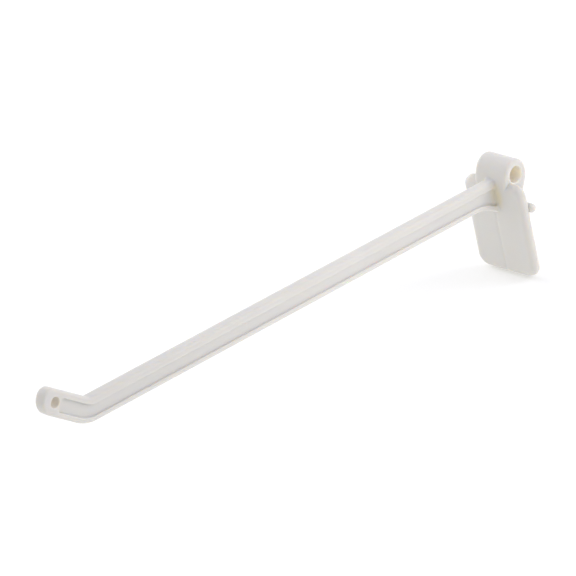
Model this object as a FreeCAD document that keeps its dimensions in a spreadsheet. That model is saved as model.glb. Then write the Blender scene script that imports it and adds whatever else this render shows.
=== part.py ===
import FreeCAD, Part
import math
import os
import Sketcher

# Display hook moulded in one piece: a long I-section arm with an up-turned,
# drilled tip, a rounded wall plate, and behind the plate a cross eye on a
# gusset with a cross bar below it.
#
# Frame: X across the hook, the arm runs towards -Y, Z is up.  The origin is
# the centre of the eye's bore, whose axis is X.

V = FreeCAD.Vector
doc = FreeCAD.newDocument("hook")

# ---------------------------------------------------------------- dimensions
sheet = doc.addObject("Spreadsheet::Sheet", "dims")
DIMS = [
    # plate
    ("plate_width", 25.4), ("plate_height", 34.75), ("plate_thick", 3.1),
    ("plate_below_eye", 1.55), ("corner_low", 4.5), ("corner_top", 4.0),
    ("plate_front_round", 2.2), ("plate_back_round", 0.4),
    # eye, gusset and cross bar
    ("eye_bore", 5.8), ("eye_outer", 10.4), ("eye_length", 13.4),
    ("eye_behind_plate", 3.0), ("eye_round", 1.0), ("bore_round", 0.45),
    ("neck_start", 2.75), ("gusset_drop", 2.4), ("gusset_lean", 29.3), ("gusset_bend", 4.0),
    ("gusset_strap", 2.0), ("gusset_web", 6.0), ("gusset_rim", 1.2),
    ("bar_diameter", 3.0), ("bar_length", 27.6), ("bar_behind_plate", 1.4),
    ("bar_below_eye", 10.6), ("bar_round", 1.3),
    # arm
    ("arm_below_eye", 4.55), ("arm_rise", 8.2), ("arm_length", 189.46),
    ("arm_height", 8.46), ("arm_width", 4.0), ("arm_root", 1.8),
    ("rim_top", 2.7), ("rim_tip", 2.1), ("rim_low", 1.75), ("web_thick", 2.4),
    ("flare_start", 10.0), ("flare_radius", 18.0), ("arm_round", 1.0),
    ("rim_round", 0.35), ("web_round", 0.3),
    # up-turned tip
    ("tip_bend", 32.86), ("tip_length", 20.1), ("bend_outer", 15.0),
    ("bend_inner", 1.5), ("nose_top", 3.2), ("nose_low", 5.1),
    ("recess_bend", 6.0), ("recess_end", 12.1), ("recess_corner", 1.2),
    ("tip_hole", 3.6), ("hole_along", 14.7), ("hole_drop", 4.05), ("hole_round", 0.3),
    ("root_round", 0.8),
    # witness line of the mould down the plate's front
    ("seam_width", 1.7), ("seam_depth", 0.14), ("seam_length", 23.7),
]
d = {}
for row, (name, value) in enumerate(DIMS, start=1):
    sheet.set("A%d" % row, name)
    sheet.set("B%d" % row, "%g" % value)
    sheet.setAlias("B%d" % row, name)
    d[name] = value
doc.recompute()


def check_ok(where):
    doc.recompute()
    for ob in doc.Objects:
        bad = [st for st in ob.State if st in ("Invalid", "Error")]
        if bad:
            raise RuntimeError("%s: %s is %s" % (where, ob.Name, bad))


def plane(body, role):
    for f in body.Origin.OriginFeatures:
        if f.Role == role:
            return f
    raise RuntimeError("no " + role)


def new_sketch(body, name, role, base=(0, 0, 0), angle=0.0):
    sk = body.newObject("Sketcher::SketchObject", name)
    sk.AttachmentSupport = [(plane(body, role), "")]
    sk.MapMode = "FlatFace"
    sk.AttachmentOffset = FreeCAD.Placement(
        V(*base), FreeCAD.Rotation(V(0, 0, 1), angle))
    return sk


def line(sk, a, b):
    return sk.addGeometry(Part.LineSegment(V(a[0], a[1], 0), V(b[0], b[1], 0)), False)


def arc3(sk, a, m, b):
    return sk.addGeometry(Part.Arc(V(a[0], a[1], 0), V(m[0], m[1], 0), V(b[0], b[1], 0)), False)


def end_at(sk, geo, pt):
    """Number of the end (1 start, 2 end) of a sketch curve that lies at pt."""
    p1, p2 = sk.getPoint(geo, 1), sk.getPoint(geo, 2)
    return 1 if (p1 - V(pt[0], pt[1], 0)).Length <= (p2 - V(pt[0], pt[1], 0)).Length else 2


def meet(sk, g1, g2, pt):
    sk.addConstraint(Sketcher.Constraint("Coincident", g1, end_at(sk, g1, pt), g2, end_at(sk, g2, pt)))


def smooth(sk, g1, g2, pt):
    sk.addConstraint(Sketcher.Constraint("Tangent", g1, end_at(sk, g1, pt), g2, end_at(sk, g2, pt)))


def dim(sk, kind, args, value, expr):
    idx = sk.addConstraint(Sketcher.Constraint(kind, *args, value))
    name = "c%d" % idx
    sk.renameConstraint(idx, name)
    sk.setExpression("Constraints." + name, expr)


def edges_where(feature, test):
    return ["Edge%d" % (i + 1) for i, e in enumerate(feature.Shape.Edges) if test(e)]


def fillet(body, name, base, edges, expr):
    if not edges:
        raise RuntimeError("no edges for " + name)
    f = body.newObject("PartDesign::Fillet", name)
    f.Base = (base, edges)
    f.Radius = 0.1
    f.setExpression("Radius", expr)
    check_ok(name)
    body.Tip = f
    return f


# ------------------------------------------------------------------ the arm
# Sketches of the arm lie in the middle plane and are turned so that their x
# axis runs back along the arm to the plate and their y axis is the arm's
# height; zero is where the arm's centre line leaves the plate's front face.
H, W, L = d["arm_height"], d["arm_width"], d["arm_length"]
be = math.radians(d["tip_bend"])
half = math.tan(be / 2)
tdir = (-math.cos(be), math.sin(be))
tnor = (math.sin(be), math.cos(be))
front = -(d["eye_behind_plate"] + d["plate_thick"])

arm = doc.addObject("PartDesign::Body", "arm_body")


def arm_sketch(name, side):
    sk = new_sketch(arm, name, "YZ_Plane", (front, -d["arm_below_eye"], side), -d["arm_rise"])
    sk.setExpression(".AttachmentOffset.Base.x", "-(dims.eye_behind_plate + dims.plate_thick)")
    sk.setExpression(".AttachmentOffset.Base.y", "-dims.arm_below_eye")
    sk.setExpression(".AttachmentOffset.Rotation.Angle", "-dims.arm_rise")
    return sk


def along(p, s, n):
    return (p[0] + tdir[0] * s + tnor[0] * n, p[1] + tdir[1] * s + tnor[1] * n)


# side outline: straight arm, sharp bend, tip, flared lower edge at the root
lf, rf, rt0 = d["flare_start"], d["flare_radius"], d["arm_root"]
v0 = (rt0, H / 2)
v1 = (-L, H / 2)
v2 = along(v1, d["tip_length"], 0)
v3 = along(v2, 0, -H)
v4 = (-(L + H * half), -H / 2)
v5 = (-lf, -H / 2)
th = math.asin((lf + rt0) / rf)
v6 = (rt0, -H / 2 - rf * (1 - math.cos(th)))
vm = (-lf + rf * math.sin(th / 2), -H / 2 - rf * (1 - math.cos(th / 2)))

sk = arm_sketch("arm_outline", 0)
g01, g12, g23, g34, g45 = line(sk, v0, v1), line(sk, v1, v2), line(sk, v2, v3), line(sk, v3, v4), line(sk, v4, v5)
g56 = arc3(sk, v5, vm, v6)
g60 = line(sk, v6, v0)
for a, b, p in ((g01, g12, v1), (g12, g23, v2), (g23, g34, v3), (g34, g45, v4), (g56, g60, v6), (g60, g01, v0)):
    meet(sk, a, b, p)
smooth(sk, g45, g56, v5)
sk.addConstraint(Sketcher.Constraint("Horizontal", g01))
sk.addConstraint(Sketcher.Constraint("Horizontal", g45))
sk.addConstraint(Sketcher.Constraint("Vertical", g60))
sk.addConstraint(Sketcher.Constraint("Perpendicular", g12, g23))
sk.addConstraint(Sketcher.Constraint("Parallel", g12, g34))
dim(sk, "Distance", (g23,), H, "dims.arm_height")
dim(sk, "Radius", (g56,), rf, "dims.flare_radius")
dim(sk, "DistanceX", (-1, 1, g01, 1), rt0, "dims.arm_root")
dim(sk, "DistanceY", (-1, 1, g01, 1), H / 2, "dims.arm_height / 2")
dim(sk, "DistanceX", (g01, 2, -1, 1), L, "dims.arm_length")
dim(sk, "DistanceY", (g45, 2, -1, 1), H / 2, "dims.arm_height / 2")
dim(sk, "DistanceX", (g45, 2, -1, 1), lf, "dims.flare_start")
dim(sk, "Distance", (g12,), d["tip_length"], "dims.tip_length")
dim(sk, "Angle", (g01, 2, g12, 1), math.pi - be, "180 - dims.tip_bend")
check_ok("arm_outline")

pad = arm.newObject("PartDesign::Pad", "arm_pad")
pad.Profile = sk
pad.SideType = "Symmetric"
pad.Length = W
pad.setExpression("Length", "dims.arm_width")
check_ok("arm_pad")

place = sk.getGlobalPlacement()


def local(p):
    """Point of a shape in the arm sketch's own axes."""
    q = place.inverse().multVec(p)
    return q.x, q.y, q.z


def across(e):
    return isinstance(e.Curve, Part.Line) and abs(abs(e.Curve.Direction.x) - 1) < 1e-6


def near(e, p, tol=0.05):
    x, y, z = local(e.CenterOfMass)
    return math.hypot(x - p[0], y - p[1]) < tol


f = fillet(arm, "bend_outside", pad, edges_where(pad, lambda e: across(e) and near(e, v4)), "dims.bend_outer")
f = fillet(arm, "bend_inside", f, edges_where(f, lambda e: across(e) and near(e, v1)), "dims.bend_inner")
f = fillet(arm, "nose_upper", f, edges_where(f, lambda e: across(e) and near(e, v2)), "dims.nose_top")
f = fillet(arm, "nose_lower", f, edges_where(f, lambda e: across(e) and near(e, v3)), "dims.nose_low")

# recess in both sides, which leaves a thicker top rim and a thinner low rim
ru, rl = d["rim_top"], d["rim_low"]
rv = d["rim_tip"]
re = d["recess_end"]
w0 = (rt0, H / 2 - ru)
s1 = (rv * math.cos(be) - ru) / math.sin(be)
w1 = along(v1, s1, -rv)
w2 = along(v1, re, -rv)
w3 = along(v1, re, rl - H)
w4 = (-(L + (H - rl) * half), -H / 2 + rl)
w5 = (-lf, -H / 2 + rl)
r2 = rf + rl
th2 = math.asin((lf + rt0) / r2)
w6 = (rt0, -H / 2 - rf + r2 * math.cos(th2))
w7 = (-lf + r2 * math.sin(th2 / 2), -H / 2 - rf + r2 * math.cos(th2 / 2))

sk2 = arm_sketch("recess_outline", W / 2)
sk2.setExpression(".AttachmentOffset.Base.z", "dims.arm_width / 2")
a01, a12 = line(sk2, w0, w1), line(sk2, w1, w2)
a23, a34, a45 = line(sk2, w2, w3), line(sk2, w3, w4), line(sk2, w4, w5)
a56 = arc3(sk2, w5, w7, w6)
a60 = line(sk2, w6, w0)
for a, b, p in ((a01, a12, w1), (a12, a23, w2), (a23, a34, w3), (a34, a45, w4), (a56, a60, w6), (a60, a01, w0)):
    meet(sk2, a, b, p)
smooth(sk2, a45, a56, w5)
sk2.addConstraint(Sketcher.Constraint("Horizontal", a01))
sk2.addConstraint(Sketcher.Constraint("Horizontal", a45))
sk2.addConstraint(Sketcher.Constraint("Vertical", a60))
sk2.addConstraint(Sketcher.Constraint("Perpendicular", a12, a23))
sk2.addConstraint(Sketcher.Constraint("Parallel", a12, a34))
dim(sk2, "Radius", (a56,), r2, "dims.flare_radius + dims.rim_low")
dim(sk2, "Distance", (a23,), H - rv - rl, "dims.arm_height - dims.rim_tip - dims.rim_low")
dim(sk2, "DistanceX", (-1, 1, a01, 1), rt0, "dims.arm_root")
dim(sk2, "DistanceY", (-1, 1, a01, 1), H / 2 - ru, "dims.arm_height / 2 - dims.rim_top")
dim(sk2, "DistanceY", (a45, 2, -1, 1), H / 2 - rl, "dims.arm_height / 2 - dims.rim_low")
dim(sk2, "DistanceX", (a45, 2, -1, 1), lf, "dims.flare_start")
dim(sk2, "DistanceX", (a01, 2, -1, 1), -w1[0],
    "dims.arm_length + dims.rim_tip * sin(dims.tip_bend)"
    " + (dims.rim_tip * cos(dims.tip_bend) - dims.rim_top) / tan(dims.tip_bend)")
dim(sk2, "Angle", (a01, 2, a12, 1), math.pi - be, "180 - dims.tip_bend")
dim(sk2, "Distance", (a12,), re - s1,
    "dims.recess_end - (dims.rim_tip * cos(dims.tip_bend) - dims.rim_top) / sin(dims.tip_bend)")
check_ok("recess_outline")

vol0 = f.Shape.Volume
cut = arm.newObject("PartDesign::Pocket", "recess_right")
cut.Profile = sk2
cut.Type = "Length"
cut.Length = (W - d["web_thick"]) / 2
cut.setExpression("Length", "(dims.arm_width - dims.web_thick) / 2")
check_ok("recess_right")
if vol0 - cut.Shape.Volume < 100:
    raise RuntimeError("the recess cuts nothing")
mir = arm.newObject("PartDesign::Mirrored", "recess_left")
mir.Originals = [cut]
mir.MirrorPlane = (plane(arm, "YZ_Plane"), [""])
check_ok("recess_left")
arm.Tip = mir
check_ok("recess tip")
if cut.Shape.Volume - mir.Shape.Volume < 100:
    raise RuntimeError("the mirrored recess cuts nothing")

f = fillet(arm, "recess_bend_upper", mir, edges_where(mir, lambda e: across(e) and near(e, w1)), "dims.recess_bend")
f = fillet(arm, "recess_bend_lower", f, edges_where(f, lambda e: across(e) and near(e, w4)),
           "dims.bend_outer - dims.rim_low")
f = fillet(arm, "recess_corners", f, edges_where(f, lambda e: across(e) and (near(e, w2) or near(e, w3))),
           "dims.recess_corner")

# small round hole through the solid nose of the tip, beyond the recess
sk3 = arm_sketch("tip_hole_outline", 0)
ho = along(v1, d["hole_along"], -d["hole_drop"])
hc = sk3.addGeometry(Part.Circle(V(ho[0], ho[1], 0), V(0, 0, 1), d["tip_hole"] / 2), False)
dim(sk3, "Diameter", (hc,), d["tip_hole"], "dims.tip_hole")
dim(sk3, "DistanceX", (hc, 3, -1, 1), -ho[0],
    "dims.arm_length + dims.hole_along * cos(dims.tip_bend) + dims.hole_drop * sin(dims.tip_bend)")
dim(sk3, "DistanceY", (-1, 1, hc, 3), ho[1],
    "dims.arm_height / 2 + dims.hole_along * sin(dims.tip_bend) - dims.hole_drop * cos(dims.tip_bend)")
check_ok("tip_hole_outline")
vol0 = f.Shape.Volume
hole = arm.newObject("PartDesign::Pocket", "tip_hole_cut")
hole.Profile = sk3
hole.SideType = "Symmetric"
hole.Type = "Length"
hole.Length = W + 2
hole.setExpression("Length", "dims.arm_width + 2")
check_ok("tip_hole_cut")
if vol0 - hole.Shape.Volume < 10:
    raise RuntimeError("the tip hole cuts nothing")
arm.Tip = hole


def on_side(e):
    """Edge that lies whole in one of the arm's two outer side planes."""
    bb = e.BoundBox
    return bb.XLength < 1e-6 and abs(abs(bb.XMin) - W / 2) < 1e-6


def outline_edge(e):
    if not on_side(e):
        return False
    x, y, z = local(e.CenterOfMass)
    if abs(x - rt0) < 0.02:
        return False
    m = e.valueAt((e.FirstParameter + e.LastParameter) / 2)
    x, y, z = local(m)
    on = []
    on.append(abs(y - H / 2) < 0.3 and x > -L - 1)
    on.append(x > -lf - 0.01 and abs(math.hypot(x + lf, y + H / 2 + rf) - rf) < 0.05)
    on.append(abs(y + H / 2) < 0.9 and x < -lf + 0.01 and x > -L - 8)
    s = (x - v1[0]) * tdir[0] + (y - v1[1]) * tdir[1]
    n = (x - v1[0]) * tnor[0] + (y - v1[1]) * tnor[1]
    on.append(s > 0.3 and (abs(n) < 0.3 or abs(n + H) < 0.3))
    on.append(s > d["tip_length"] - 3.0)
    return any(on)


f = fillet(arm, "rim_outer_round", hole, edges_where(hole, outline_edge), "dims.arm_round")


def hole_mouth(e):
    return on_side(e) and isinstance(e.Curve, Part.Circle) and abs(e.Curve.Radius - d["tip_hole"] / 2) < 1e-4


f = fillet(arm, "tip_hole_round", f, edges_where(f, hole_mouth), "dims.hole_round")


# ---------------------------------------------------- plate, eye and gusset
back = doc.addObject("PartDesign::Body", "plate_body")
pw, ph, pt = d["plate_width"], d["plate_height"], d["plate_thick"]
top = -d["plate_below_eye"]
yb = -d["eye_behind_plate"]

sk4 = new_sketch(back, "plate_outline", "XZ_Plane", (0, 0, -yb))
sk4.setExpression(".AttachmentOffset.Base.z", "dims.eye_behind_plate")
q = [(-pw / 2, top - ph), (pw / 2, top - ph), (pw / 2, top), (-pw / 2, top)]
e0, e1, e2, e3 = (line(sk4, q[i], q[(i + 1) % 4]) for i in range(4))
for a, b, p in ((e0, e1, q[1]), (e1, e2, q[2]), (e2, e3, q[3]), (e3, e0, q[0])):
    meet(sk4, a, b, p)
for g in (e0, e2):
    sk4.addConstraint(Sketcher.Constraint("Horizontal", g))
for g in (e1, e3):
    sk4.addConstraint(Sketcher.Constraint("Vertical", g))
dim(sk4, "DistanceX", (e0, 1, e0, 2), pw, "dims.plate_width")
dim(sk4, "DistanceX", (-1, 1, e0, 2), pw / 2, "dims.plate_width / 2")
dim(sk4, "DistanceY", (e1, 1, e1, 2), ph, "dims.plate_height")
dim(sk4, "DistanceY", (e1, 2, -1, 1), -top, "dims.plate_below_eye")
check_ok("plate_outline")
plate = back.newObject("PartDesign::Pad", "plate_pad")
plate.Profile = sk4
plate.Length = pt
plate.setExpression("Length", "dims.plate_thick")
check_ok("plate_pad")
if plate.Shape.BoundBox.YMin > front + 1e-6:
    raise RuntimeError("the plate is padded the wrong way")


def depth_edge(e):
    return isinstance(e.Curve, Part.Line) and abs(abs(e.Curve.Direction.y) - 1) < 1e-6


f2 = fillet(back, "plate_low_corners", plate,
            edges_where(plate, lambda e: depth_edge(e) and e.CenterOfMass.z < top - ph / 2), "dims.corner_low")
f2 = fillet(back, "plate_top_corners", f2,
            edges_where(f2, lambda e: depth_edge(e) and abs(e.CenterOfMass.z - top) < 1e-3), "dims.corner_top")
f2 = fillet(back, "plate_front_edge", f2,
            edges_where(f2, lambda e: e.BoundBox.YLength < 1e-6 and abs(e.BoundBox.YMin - front) < 1e-6),
            "dims.plate_front_round")
f2 = fillet(back, "plate_back_edge", f2,
            edges_where(f2, lambda e: e.BoundBox.YLength < 1e-6 and abs(e.BoundBox.YMin - yb) < 1e-6),
            "dims.plate_back_round")

# eye: plate front carried up in a smooth curve over the bore and down a
# leaning back strap to the plate's back face
Re = d["eye_outer"] / 2
ns = d["neck_start"]
yf = front
rho = (yf * yf + ns * ns - Re * Re) / (2 * (-yf - Re))
cn = (yf + rho, -ns)
k = math.hypot(cn[0], cn[1])
n1 = (-cn[0] / k * Re, -cn[1] / k * Re)
lean = math.tan(math.radians(d["gusset_lean"]))
n2 = (Re, 0.0)
n3 = (Re, -d["gusset_drop"])
n4 = (yb, -d["gusset_drop"] - (Re - yb) / lean)
n5 = (yf + 0.9, n4[1])
n6 = (yf + 0.9, -ns - 3.0)
n7 = (yf, -ns - 3.0)
n8 = (yf, -ns)
am = math.radians(180 - (math.degrees(math.atan2(ns - 0.0, cn[0]))) / 2)
ang1 = math.atan2(n1[1] - cn[1], n1[0] - cn[0])
amid = (math.pi + ang1) / 2
nm = (cn[0] + rho * math.cos(amid), cn[1] + rho * math.sin(amid))

eyeb = doc.addObject("PartDesign::Body", "eye_body")
sk5 = new_sketch(eyeb, "eye_outline", "YZ_Plane")
b81 = arc3(sk5, n8, nm, n1)
b12 = arc3(sk5, n1, (0.0, Re), n2)
b23, b34, b45 = line(sk5, n2, n3), line(sk5, n3, n4), line(sk5, n4, n5)
b56, b67, b78 = line(sk5, n5, n6), line(sk5, n6, n7), line(sk5, n7, n8)
for a, b, p in ((b23, b34, n3), (b34, b45, n4), (b45, b56, n5), (b56, b67, n6), (b67, b78, n7)):
    meet(sk5, a, b, p)
smooth(sk5, b81, b12, n1)
smooth(sk5, b12, b23, n2)
smooth(sk5, b78, b81, n8)
sk5.addConstraint(Sketcher.Constraint("Coincident", b12, 3, -1, 1))
for g in (b45, b67):
    sk5.addConstraint(Sketcher.Constraint("Horizontal", g))
for g in (b23, b56, b78):
    sk5.addConstraint(Sketcher.Constraint("Vertical", g))
dim(sk5, "Radius", (b12,), Re, "dims.eye_outer / 2")
dim(sk5, "DistanceX", (b78, 1, -1, 1), -yf, "dims.eye_behind_plate + dims.plate_thick")
dim(sk5, "DistanceY", (b78, 2, -1, 1), ns, "dims.neck_start")
dim(sk5, "DistanceY", (b78, 1, -1, 1), ns + 3.0, "dims.neck_start + 3")
dim(sk5, "DistanceX", (b56, 1, -1, 1), -n5[0], "dims.eye_behind_plate + dims.plate_thick - 0.9")
dim(sk5, "DistanceY", (b23, 2, -1, 1), d["gusset_drop"], "dims.gusset_drop")
dim(sk5, "DistanceX", (b34, 2, -1, 1), -yb, "dims.eye_behind_plate")
dim(sk5, "DistanceY", (b34, 2, -1, 1), -n4[1],
    "dims.gusset_drop + (dims.eye_outer / 2 + dims.eye_behind_plate) / tan(dims.gusset_lean)")
check_ok("eye_outline")
eye = eyeb.newObject("PartDesign::Pad", "eye_pad")
eye.Profile = sk5
eye.SideType = "Symmetric"
eye.Length = d["eye_length"]
eye.setExpression("Length", "dims.eye_length")
check_ok("eye_pad")

f3 = fillet(eyeb, "strap_bend", eye,
            edges_where(eye, lambda e: across(e) and abs(e.CenterOfMass.y - n3[0]) < 1e-4
                        and abs(e.CenterOfMass.z - n3[1]) < 1e-4), "dims.gusset_bend")


def eye_end(e):
    """Outer edge of the eye's two end faces: neck, crown and back strap."""
    bb = e.BoundBox
    if bb.XLength > 1e-6 or abs(abs(bb.XMin) - d["eye_length"] / 2) > 1e-6:
        return False
    m = e.valueAt((e.FirstParameter + e.LastParameter) / 2)
    return m.z > -ns + 0.01 or m.y > yb + 0.3


f3 = fillet(eyeb, "eye_ends", f3, edges_where(f3, eye_end), "dims.eye_round")

# hollow sides of the gusset, which leave the strap, the ring and a middle web
gn = (math.cos(math.radians(d["gusset_lean"])), -math.sin(math.radians(d["gusset_lean"])))
off = gn[0] * n3[0] + gn[1] * n3[1] - d["gusset_strap"]
sd = (-math.sin(math.radians(d["gusset_lean"])), -math.cos(math.radians(d["gusset_lean"])))
Rg = Re + d["gusset_rim"]
run = math.sqrt(Rg * Rg - off * off)
p1 = (gn[0] * off + sd[0] * run, gn[1] * off + sd[1] * run)
p2 = (yb, (gn[0] * yb - off) / -gn[1])
p3 = (yb, -math.sqrt(Rg * Rg - yb * yb))
pm = (-0.15 * Rg, -Rg * math.sqrt(1 - 0.15 * 0.15))
el = d["eye_length"] / 2
sk6 = new_sketch(eyeb, "gusset_outline", "YZ_Plane", (0, 0, el))
sk6.setExpression(".AttachmentOffset.Base.z", "dims.eye_length / 2")
h12, h23 = line(sk6, p1, p2), line(sk6, p2, p3)
h31 = arc3(sk6, p3, pm, p1)
for a, b, p in ((h12, h23, p2), (h23, h31, p3), (h31, h12, p1)):
    meet(sk6, a, b, p)
sk6.addConstraint(Sketcher.Constraint("Vertical", h23))
sk6.addConstraint(Sketcher.Constraint("Coincident", h31, 3, -1, 1))
dim(sk6, "Radius", (h31,), Rg, "dims.eye_outer / 2 + dims.gusset_rim")
dim(sk6, "DistanceX", (h23, 1, -1, 1), -yb, "dims.eye_behind_plate")
dim(sk6, "DistanceY", (h23, 1, -1, 1), -p2[1],
    "(dims.eye_behind_plate * cos(dims.gusset_lean) + dims.eye_outer / 2 * cos(dims.gusset_lean)"
    " + dims.gusset_drop * sin(dims.gusset_lean) - dims.gusset_strap) / sin(dims.gusset_lean)")
dim(sk6, "DistanceX", (-1, 1, h12, 1), p1[0],
    "cos(dims.gusset_lean) * (dims.eye_outer / 2 * cos(dims.gusset_lean) + dims.gusset_drop * sin(dims.gusset_lean)"
    " - dims.gusset_strap) - sin(dims.gusset_lean) * sqrt((dims.eye_outer / 2 + dims.gusset_rim)^2"
    " - (dims.eye_outer / 2 * cos(dims.gusset_lean) + dims.gusset_drop * sin(dims.gusset_lean)"
    " - dims.gusset_strap)^2)")
check_ok("gusset_outline")
vol0 = f3.Shape.Volume
gcut = eyeb.newObject("PartDesign::Pocket", "gusset_right")
gcut.Profile = sk6
gcut.Type = "Length"
gcut.Length = el - d["gusset_web"] / 2
gcut.setExpression("Length", "(dims.eye_length - dims.gusset_web) / 2")
check_ok("gusset_right")
if vol0 - gcut.Shape.Volume < 20:
    raise RuntimeError("the gusset pocket cuts nothing")
gmir = eyeb.newObject("PartDesign::Mirrored", "gusset_left")
gmir.Originals = [gcut]
gmir.MirrorPlane = (plane(eyeb, "YZ_Plane"), [""])
check_ok("gusset_left")
eyeb.Tip = gmir
check_ok("gusset tip")
if gcut.Shape.Volume - gmir.Shape.Volume < 20:
    raise RuntimeError("the mirrored gusset pocket cuts nothing")

# round bore of the eye
sk7 = new_sketch(eyeb, "bore_outline", "YZ_Plane")
bc = sk7.addGeometry(Part.Circle(V(0, 0, 0), V(0, 0, 1), d["eye_bore"] / 2), False)
sk7.addConstraint(Sketcher.Constraint("Coincident", bc, 3, -1, 1))
dim(sk7, "Diameter", (bc,), d["eye_bore"], "dims.eye_bore")
check_ok("bore_outline")
vol0 = gmir.Shape.Volume
bore = eyeb.newObject("PartDesign::Pocket", "eye_bore_cut")
bore.Profile = sk7
bore.SideType = "Symmetric"
bore.Type = "Length"
bore.Length = d["eye_length"] + 2
bore.setExpression("Length", "dims.eye_length + 2")
check_ok("eye_bore_cut")
if vol0 - bore.Shape.Volume < 200:
    raise RuntimeError("the bore cuts nothing")
eyeb.Tip = bore


def bore_mouth(e):
    return (isinstance(e.Curve, Part.Circle) and abs(e.Curve.Radius - d["eye_bore"] / 2) < 1e-4
            and abs(abs(e.BoundBox.XMin) - el) < 1e-6 and e.BoundBox.XLength < 1e-6)


f3 = fillet(eyeb, "eye_rim_round", bore, edges_where(bore, bore_mouth), "dims.bore_round")

# cross bar with rounded ends, lying against the plate's back face
sk8 = new_sketch(back, "bar_outline", "YZ_Plane")
by, bz = yb + d["bar_behind_plate"], -d["bar_below_eye"]
cb = sk8.addGeometry(Part.Circle(V(by, bz, 0), V(0, 0, 1), d["bar_diameter"] / 2), False)
dim(sk8, "Diameter", (cb,), d["bar_diameter"], "dims.bar_diameter")
dim(sk8, "DistanceX", (cb, 3, -1, 1), -by, "dims.eye_behind_plate - dims.bar_behind_plate")
dim(sk8, "DistanceY", (cb, 3, -1, 1), -bz, "dims.bar_below_eye")
check_ok("bar_outline")
bar = back.newObject("PartDesign::Pad", "bar_pad")
bar.Profile = sk8
bar.SideType = "Symmetric"
bar.Length = d["bar_length"]
bar.setExpression("Length", "dims.bar_length")
check_ok("bar_pad")
back.Tip = bar
f2 = fillet(back, "bar_ends", bar,
            edges_where(bar, lambda e: e.BoundBox.XLength < 1e-6
                        and abs(abs(e.BoundBox.XMin) - d["bar_length"] / 2) < 1e-6), "dims.bar_round")

# ------------------------------------------------------------ one moulding
join = back.newObject("PartDesign::Boolean", "join")
join.Type = "Fuse"
join.addObjects([arm, eyeb])
check_ok("join")
back.Tip = join
doc.recompute()


def on_front(p):
    """Point on the plate's front face or on the eye's neck above it."""
    if p.z <= -ns + 1e-6:
        return abs(p.y - front) < 1e-4
    return abs(math.hypot(p.y - cn[0], p.z - cn[1]) - rho) < 1e-3


def root_edge(e):
    return all(on_front(p) and abs(p.x) < W / 2 + 0.02 and -13 < p.z < 1.5 for p in e.discretize(9))


f2 = fillet(back, "arm_root", join, edges_where(join, root_edge), "dims.root_round")


def crease(shape, e):
    """True where the two faces of an edge meet at a clear angle."""
    faces = [fc for fc in shape.Faces if any(x.isSame(e) for x in fc.Edges)]
    if len(faces) != 2:
        return False
    m = e.valueAt((e.FirstParameter + e.LastParameter) / 2)
    nn = [fc.normalAt(*fc.Surface.parameter(m)) for fc in faces]
    return nn[0].getAngle(nn[1]) > 0.2


def recess_edge(shape, e, side):
    """Edge of the arm's recess that lies in the plane at that distance from the middle."""
    bb = e.BoundBox
    if bb.XLength > 1e-5 or bb.YMax > front + 0.01 or e.Length < 0.02:
        return False
    if abs(abs(bb.XMin) - side) > 1e-5:
        return False
    if isinstance(e.Curve, Part.Circle) and abs(e.Curve.Radius - d["tip_hole"] / 2) < 1e-3:
        return False
    return crease(shape, e)


f2 = fillet(back, "rim_round", f2, edges_where(f2, lambda e: recess_edge(f2.Shape, e, W / 2)), "dims.rim_round")
f2 = fillet(back, "web_round", f2, edges_where(f2, lambda e: recess_edge(f2.Shape, e, d["web_thick"] / 2)),
            "dims.web_round")

# witness line: a shallow vee down the middle of the plate's front, below the arm
sk9 = new_sketch(back, "seam_outline", "XY_Plane", (0, 0, top - ph))
sk9.setExpression(".AttachmentOffset.Base.z", "-dims.plate_below_eye - dims.plate_height")
sw, sd9 = d["seam_width"] / 2, d["seam_depth"]
z1, z2, z3 = (-2 * sw, front - sd9), (2 * sw, front - sd9), (0.0, front + sd9)
l1, l2, l3 = line(sk9, z1, z2), line(sk9, z2, z3), line(sk9, z3, z1)
for a, b, p in ((l1, l2, z2), (l2, l3, z3), (l3, l1, z1)):
    meet(sk9, a, b, p)
sk9.addConstraint(Sketcher.Constraint("Horizontal", l1))
sk9.addConstraint(Sketcher.Constraint("PointOnObject", l2, 2, -2))
dim(sk9, "DistanceX", (l1, 1, l1, 2), 4 * sw, "2 * dims.seam_width")
dim(sk9, "DistanceX", (-1, 1, l1, 2), 2 * sw, "dims.seam_width")
dim(sk9, "DistanceY", (l1, 1, -1, 1), -front + sd9, "dims.eye_behind_plate + dims.plate_thick + dims.seam_depth")
dim(sk9, "DistanceY", (l2, 2, -1, 1), -front - sd9, "dims.eye_behind_plate + dims.plate_thick - dims.seam_depth")
check_ok("seam_outline")
vol0 = f2.Shape.Volume
seam = back.newObject("PartDesign::Pocket", "seam_cut")
seam.Profile = sk9
seam.Type = "Length"
seam.Length = d["seam_length"]
seam.setExpression("Length", "dims.seam_length")
seam.Reversed = True
check_ok("seam_cut")
if not 0.5 < vol0 - seam.Shape.Volume < 6:
    raise RuntimeError("the witness line cuts %.3f" % (vol0 - seam.Shape.Volume))
back.Tip = seam
check_ok("seam tip")

hook = back
hook.Label = "hook"

check_ok("end")
for ob in (hook,):
    sh = ob.Shape
    if sh.isNull() or not sh.isValid() or len(sh.Solids) != 1:
        raise RuntimeError("%s is not one sound solid" % ob.Label)
    print(ob.Label, "volume", round(sh.Volume, 1), "box", sh.BoundBox)

os.makedirs("parts", exist_ok=True)
hook.Shape.exportStep("parts/%s.step" % hook.Label)
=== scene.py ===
import math

import bpy
from mathutils import Matrix, Vector


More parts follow.
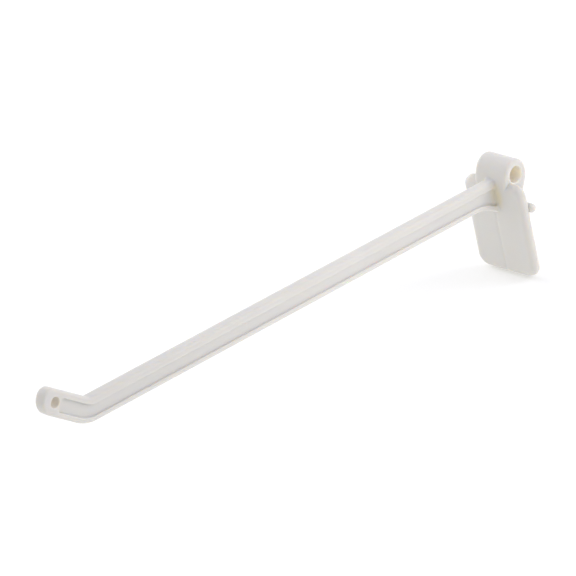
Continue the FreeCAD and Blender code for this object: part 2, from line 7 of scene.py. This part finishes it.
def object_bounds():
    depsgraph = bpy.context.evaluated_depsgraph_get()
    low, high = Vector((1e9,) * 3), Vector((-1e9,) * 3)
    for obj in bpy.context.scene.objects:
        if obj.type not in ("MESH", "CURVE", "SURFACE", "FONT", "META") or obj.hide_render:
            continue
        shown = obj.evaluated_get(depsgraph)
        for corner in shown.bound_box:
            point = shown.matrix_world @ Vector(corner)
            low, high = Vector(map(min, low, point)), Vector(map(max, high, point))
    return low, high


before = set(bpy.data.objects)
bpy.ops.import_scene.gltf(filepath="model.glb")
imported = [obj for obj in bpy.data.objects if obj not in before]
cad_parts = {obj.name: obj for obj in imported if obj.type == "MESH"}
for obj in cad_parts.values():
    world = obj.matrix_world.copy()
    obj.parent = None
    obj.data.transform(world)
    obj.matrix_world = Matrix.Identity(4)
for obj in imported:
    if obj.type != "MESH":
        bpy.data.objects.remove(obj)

low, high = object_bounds()
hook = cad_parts["hook"]


# ------------------------------------------------------------------ helpers
def node(tree, kind, x, y, **values):
    n = tree.nodes.new(kind)
    n.location = (x, y)
    for key, value in values.items():
        if key in n.inputs:
            n.inputs[key].default_value = value
        else:
            setattr(n, key, value)
    return n


def ramp(tree, x, y, stops):
    n = tree.nodes.new("ShaderNodeValToRGB")
    n.location = (x, y)
    el = n.color_ramp.elements
    while len(el) < len(stops):
        el.new(0.5)
    for e, (pos, col) in zip(el, stops):
        e.position = pos
        e.color = col if len(col) == 4 else (*col, 1.0)
    return n


def around_x(tree, co, x, y, centre, outer, inner):
    """Mask that is 1 within `inner` of a line along X through (y, z), 0 beyond `outer`."""
    rel = node(tree, "ShaderNodeVectorMath", x - 500, y, operation="SUBTRACT")
    rel.inputs[1].default_value = (0.0, *centre)
    tree.links.new(co.outputs["Object"], rel.inputs[0])
    flat = node(tree, "ShaderNodeVectorMath", x - 330, y, operation="MULTIPLY")
    flat.inputs[1].default_value = (0.0, 1.0, 1.0)
    tree.links.new(rel.outputs["Vector"], flat.inputs[0])
    size = node(tree, "ShaderNodeVectorMath", x - 160, y, operation="LENGTH")
    tree.links.new(flat.outputs["Vector"], size.inputs[0])
    mask = node(tree, "ShaderNodeMapRange", x, y)
    mask.inputs["From Min"].default_value = outer
    mask.inputs["From Max"].default_value = inner
    tree.links.new(size.outputs["Value"], mask.inputs["Value"])
    return mask.outputs["Result"]


def beside_middle(tree, co, x, y, centre, reach):
    """Mask that fades from 1 at `centre`, and at its mirror image in X, to 0 at `reach` from it."""
    parts = node(tree, "ShaderNodeSeparateXYZ", x - 850, y)
    tree.links.new(co.outputs["Object"], parts.inputs[0])
    side = node(tree, "ShaderNodeMath", x - 680, y, operation="ABSOLUTE")
    tree.links.new(parts.outputs[0], side.inputs[0])
    folded = node(tree, "ShaderNodeCombineXYZ", x - 510, y)
    tree.links.new(side.outputs[0], folded.inputs[0])
    tree.links.new(parts.outputs[1], folded.inputs[1])
    tree.links.new(parts.outputs[2], folded.inputs[2])
    rel = node(tree, "ShaderNodeVectorMath", x - 340, y, operation="SUBTRACT")
    rel.inputs[1].default_value = centre
    tree.links.new(folded.outputs[0], rel.inputs[0])
    scaled = node(tree, "ShaderNodeVectorMath", x - 170, y, operation="DIVIDE")
    scaled.inputs[1].default_value = reach
    tree.links.new(rel.outputs["Vector"], scaled.inputs[0])
    size = node(tree, "ShaderNodeVectorMath", x - 80, y - 160, operation="LENGTH")
    tree.links.new(scaled.outputs["Vector"], size.inputs[0])
    mask = node(tree, "ShaderNodeMapRange", x, y, interpolation_type="SMOOTHSTEP")
    mask.inputs["From Min"].default_value = 1.0
    mask.inputs["From Max"].default_value = 0.2
    tree.links.new(size.outputs["Value"], mask.inputs["Value"])
    return mask.outputs["Result"]


def mixed(tree, colour, mask, x, y, other):
    n = node(tree, "ShaderNodeMix", x, y, data_type="RGBA")
    tree.links.new(mask, n.inputs[0])
    tree.links.new(colour, n.inputs[6])
    n.inputs[7].default_value = (*other, 1.0)
    return n.outputs[2]


# ----------------------------------------------------------------- plastic
def white_plastic():
    mat = bpy.data.materials.new("white_plastic")
    mat.use_nodes = True
    t = mat.node_tree
    t.nodes.clear()
    link = t.links.new
    out = node(t, "ShaderNodeOutputMaterial", 900, 0)
    bsdf = node(t, "ShaderNodeBsdfPrincipled", 600, 0)
    link(bsdf.outputs["BSDF"], out.inputs["Surface"])
    co = node(t, "ShaderNodeTexCoord", -900, 0)

    # broad, very faint clouding of the resin
    cloud = node(t, "ShaderNodeTexNoise", -600, 300, Scale=45.0, Detail=3.0, Roughness=0.55)
    link(co.outputs["Object"], cloud.inputs["Vector"])
    tint = ramp(t, -300, 300, [(0.30, (0.678, 0.662, 0.628)), (0.72, (0.698, 0.684, 0.652))])
    link(cloud.outputs["Fac"], tint.inputs["Fac"])

    # painted shade: a little greyer towards the tip, standing for the lower light that falls there
    place = node(t, "ShaderNodeSeparateXYZ", -600, 520)
    link(co.outputs["Object"], place.inputs[0])
    along = node(t, "ShaderNodeMapRange", -450, 520, interpolation_type="SMOOTHSTEP")
    along.inputs["From Min"].default_value = -0.060
    along.inputs["From Max"].default_value = -0.205
    link(place.outputs["Y"], along.inputs["Value"])
    tip_painted_shade = mixed(t, tint.outputs["Color"], along.outputs["Result"], -160, 520, (0.634, 0.620, 0.592))

    # inside of the eye's bore: painted light, a paler colour standing for light shining through the
    # thin wall
    bore = around_x(t, co, -300, 620, (0.0, 0.0), 0.00330, 0.00285)
    bore_painted_light = mixed(t, tip_painted_shade, bore, -60, 420, (0.812, 0.770, 0.710))
    # inside of the tip's hole: painted shade, a darker, browner colour
    hole = around_x(t, co, -300, 820, (-0.206764, 0.033261), 0.00215, 0.00175)
    hole_painted_shade = mixed(t, bore_painted_light, hole, 180, 420, (0.670, 0.632, 0.560))
    # painted shade: warmer, browner colour in the corners where the arm leaves the plate
    root = beside_middle(t, co, -300, 1020, (0.0025, -0.0061, -0.0058), (0.0031, 0.0031, 0.0064))
    root_painted_shade = mixed(t, hole_painted_shade, root, 400, 420, (0.735, 0.675, 0.530))
    # painted light: paler in the gusset's side pockets, standing for light coming through the thin
    # walls
    pocket = beside_middle(t, co, -300, 1220, (0.0048, -0.0012, -0.0078), (0.0034, 0.0034, 0.0040))
    pocket_painted_light = mixed(t, root_painted_shade, pocket, 500, 600, (0.965, 0.950, 0.915))
    link(pocket_painted_light, bsdf.inputs["Base Color"])

    # satin surface with a fine moulded grain
    grain = node(t, "ShaderNodeTexNoise", -600, 0, Scale=2600.0, Detail=2.0, Roughness=0.5)
    link(co.outputs["Object"], grain.inputs["Vector"])
    rough = ramp(t, -300, 0, [(0.30, (0.50, 0.50, 0.50)), (0.70, (0.60, 0.60, 0.60))])
    link(cloud.outputs["Fac"], rough.inputs["Fac"])
    link(rough.outputs["Color"], bsdf.inputs["Roughness"])
    bump = node(t, "ShaderNodeBump", 300, -300, Strength=0.10, Distance=0.00004)
    link(grain.outputs["Fac"], bump.inputs["Height"])
    link(bump.outputs["Normal"], bsdf.inputs["Normal"])

    bsdf.inputs["IOR"].default_value = 1.49
    bsdf.inputs["Specular IOR Level"].default_value = 0.15
    bsdf.inputs["Subsurface Weight"].default_value = 1.0
    bsdf.inputs["Subsurface Radius"].default_value = (1.0, 0.85, 0.60)
    # light carries further through the eye's thin wall than through the rest
    depth = node(t, "ShaderNodeMapRange", 300, -560)
    depth.inputs["To Min"].default_value = 0.0016
    depth.inputs["To Max"].default_value = 0.0060
    link(bore, depth.inputs["Value"])
    link(depth.outputs["Result"], bsdf.inputs["Subsurface Scale"])
    return mat


mat = white_plastic()
hook.data.materials.clear()
hook.data.materials.append(mat)

# ------------------------------------------------------------------- floor
FLOOR_Z = low.z - 0.0006
profile = [(0.0, 0.0), (0.5, 0.0), (1.0, 0.0), (2.0, 0.0), (3.0, 0.0), (4.0, 0.0), (4.6, 0.01),
           (5.1, 0.06), (5.5, 0.16), (5.8, 0.34), (5.95, 0.62), (6.0, 1.10)]
AROUND = 96
points = [(r * math.cos(2 * math.pi * k / AROUND), r * math.sin(2 * math.pi * k / AROUND), z)
          for r, z in profile[1:] for k in range(AROUND)]
faces = [tuple(range(AROUND))]
for ring in range(len(profile) - 2):
    for k in range(AROUND):
        a, b = ring * AROUND + k, ring * AROUND + (k + 1) % AROUND
        faces.append((a, a + AROUND, b + AROUND, b))
dish = bpy.data.meshes.new("floor")
dish.from_pydata(points, [], faces)
dish.update()
for face in dish.polygons:
    face.use_smooth = True
floor = bpy.data.objects.new("floor", dish)
floor.location = (0, -0.1, FLOOR_Z)
bpy.context.scene.collection.objects.link(floor)
floor.name = "floor"
fm = bpy.data.materials.new("floor")
fm.use_nodes = True
ft = fm.node_tree
fb = ft.nodes["Principled BSDF"]
fco = node(ft, "ShaderNodeTexCoord", -800, 0)
fn = node(ft, "ShaderNodeTexNoise", -600, 0, Scale=3.0, Detail=2.0)
fr = ramp(ft, -300, 0, [(0.3, (0.780, 0.780, 0.780)), (0.7, (0.800, 0.800, 0.800))])
ft.links.new(fco.outputs["Object"], fn.inputs["Vector"])
ft.links.new(fn.outputs["Fac"], fr.inputs["Fac"])
ft.links.new(fr.outputs["Color"], fb.inputs["Base Color"])
fb.inputs["Roughness"].default_value = 0.9
fb.inputs["Specular IOR Level"].default_value = 0.1
fb.inputs["Emission Color"].default_value = (1.0, 1.0, 0.930, 1.0)
size_f = node(ft, "ShaderNodeVectorMath", -600, -300, operation="LENGTH")
ft.links.new(fco.outputs["Object"], size_f.inputs[0])
glow = node(ft, "ShaderNodeMapRange", -300, -300, interpolation_type="SMOOTHSTEP")
glow.inputs["From Min"].default_value = 0.7
glow.inputs["From Max"].default_value = 2.4
glow.inputs["To Min"].default_value = 0.244
glow.inputs["To Max"].default_value = 0.420
ft.links.new(size_f.outputs["Value"], glow.inputs["Value"])
ft.links.new(glow.outputs["Result"], fb.inputs["Emission Strength"])
floor.data.materials.append(fm)

# ------------------------------------------------------------------ lights
world = bpy.data.worlds.new("studio")
bpy.context.scene.world = world
world.use_nodes = True
bg = world.node_tree.nodes.get("Background") or world.node_tree.nodes.new("ShaderNodeBackground")
wout = world.node_tree.nodes.get("World Output") or world.node_tree.nodes.new("ShaderNodeOutputWorld")
world.node_tree.links.new(bg.outputs[0], wout.inputs[0])
bg.inputs["Color"].default_value = (0.980, 0.978, 1.0, 1.0)
bg.inputs["Strength"].default_value = 0.722

middle = Vector((0.0, -0.1, 0.0))


def softbox(name, place, size, power, colour=(1, 1, 1)):
    data = bpy.data.lights.new(name, "AREA")
    data.shape = "SQUARE"
    data.size = size
    data.energy = power
    data.color = colour
    ob = bpy.data.objects.new(name, data)
    ob.location = place
    ob.rotation_euler = (middle - Vector(place)).to_track_quat("-Z", "Y").to_euler()
    bpy.context.scene.collection.objects.link(ob)
    return ob


softbox("overhead", (0.05, -0.10, 1.30), 1.3, 1.42, (0.700, 0.720, 1.0))
softbox("left_side", (-1.25, -0.10, 0.70), 1.0, 8.3, (0.963, 0.963, 1.0))
softbox("rear_right", (0.95, 0.85, 0.60), 0.8, 7.2, (0.915, 0.916, 1.0))

# ------------------------------------------------------------------ camera
cam_data = bpy.data.cameras.new("camera")
cam = bpy.data.objects.new("camera", cam_data)
bpy.context.scene.collection.objects.link(cam)
right = Vector((0.73003, 0.65673, -0.18914))
up = Vector((-0.22176, 0.48941, 0.84339))
back = Vector((0.64644, -0.57376, 0.50291))
cam.matrix_world = Matrix((
    (right.x, up.x, back.x, 1.04577),
    (right.y, up.y, back.y, -1.03099),
    (right.z, up.z, back.z, 0.82722),
    (0, 0, 0, 1)))
cam_data.sensor_fit = "HORIZONTAL"
cam_data.sensor_width = 36.0
cam_data.lens = 318.92
cam_data.clip_start = 0.05
cam_data.clip_end = 50.0
cam_data.dof.use_dof = False
bpy.context.scene.camera = cam

scene = bpy.context.scene
scene.view_settings.view_transform = "Standard"
scene.view_settings.look = "None"
scene.view_settings.exposure = 0.0
scene.view_settings.gamma = 1.0
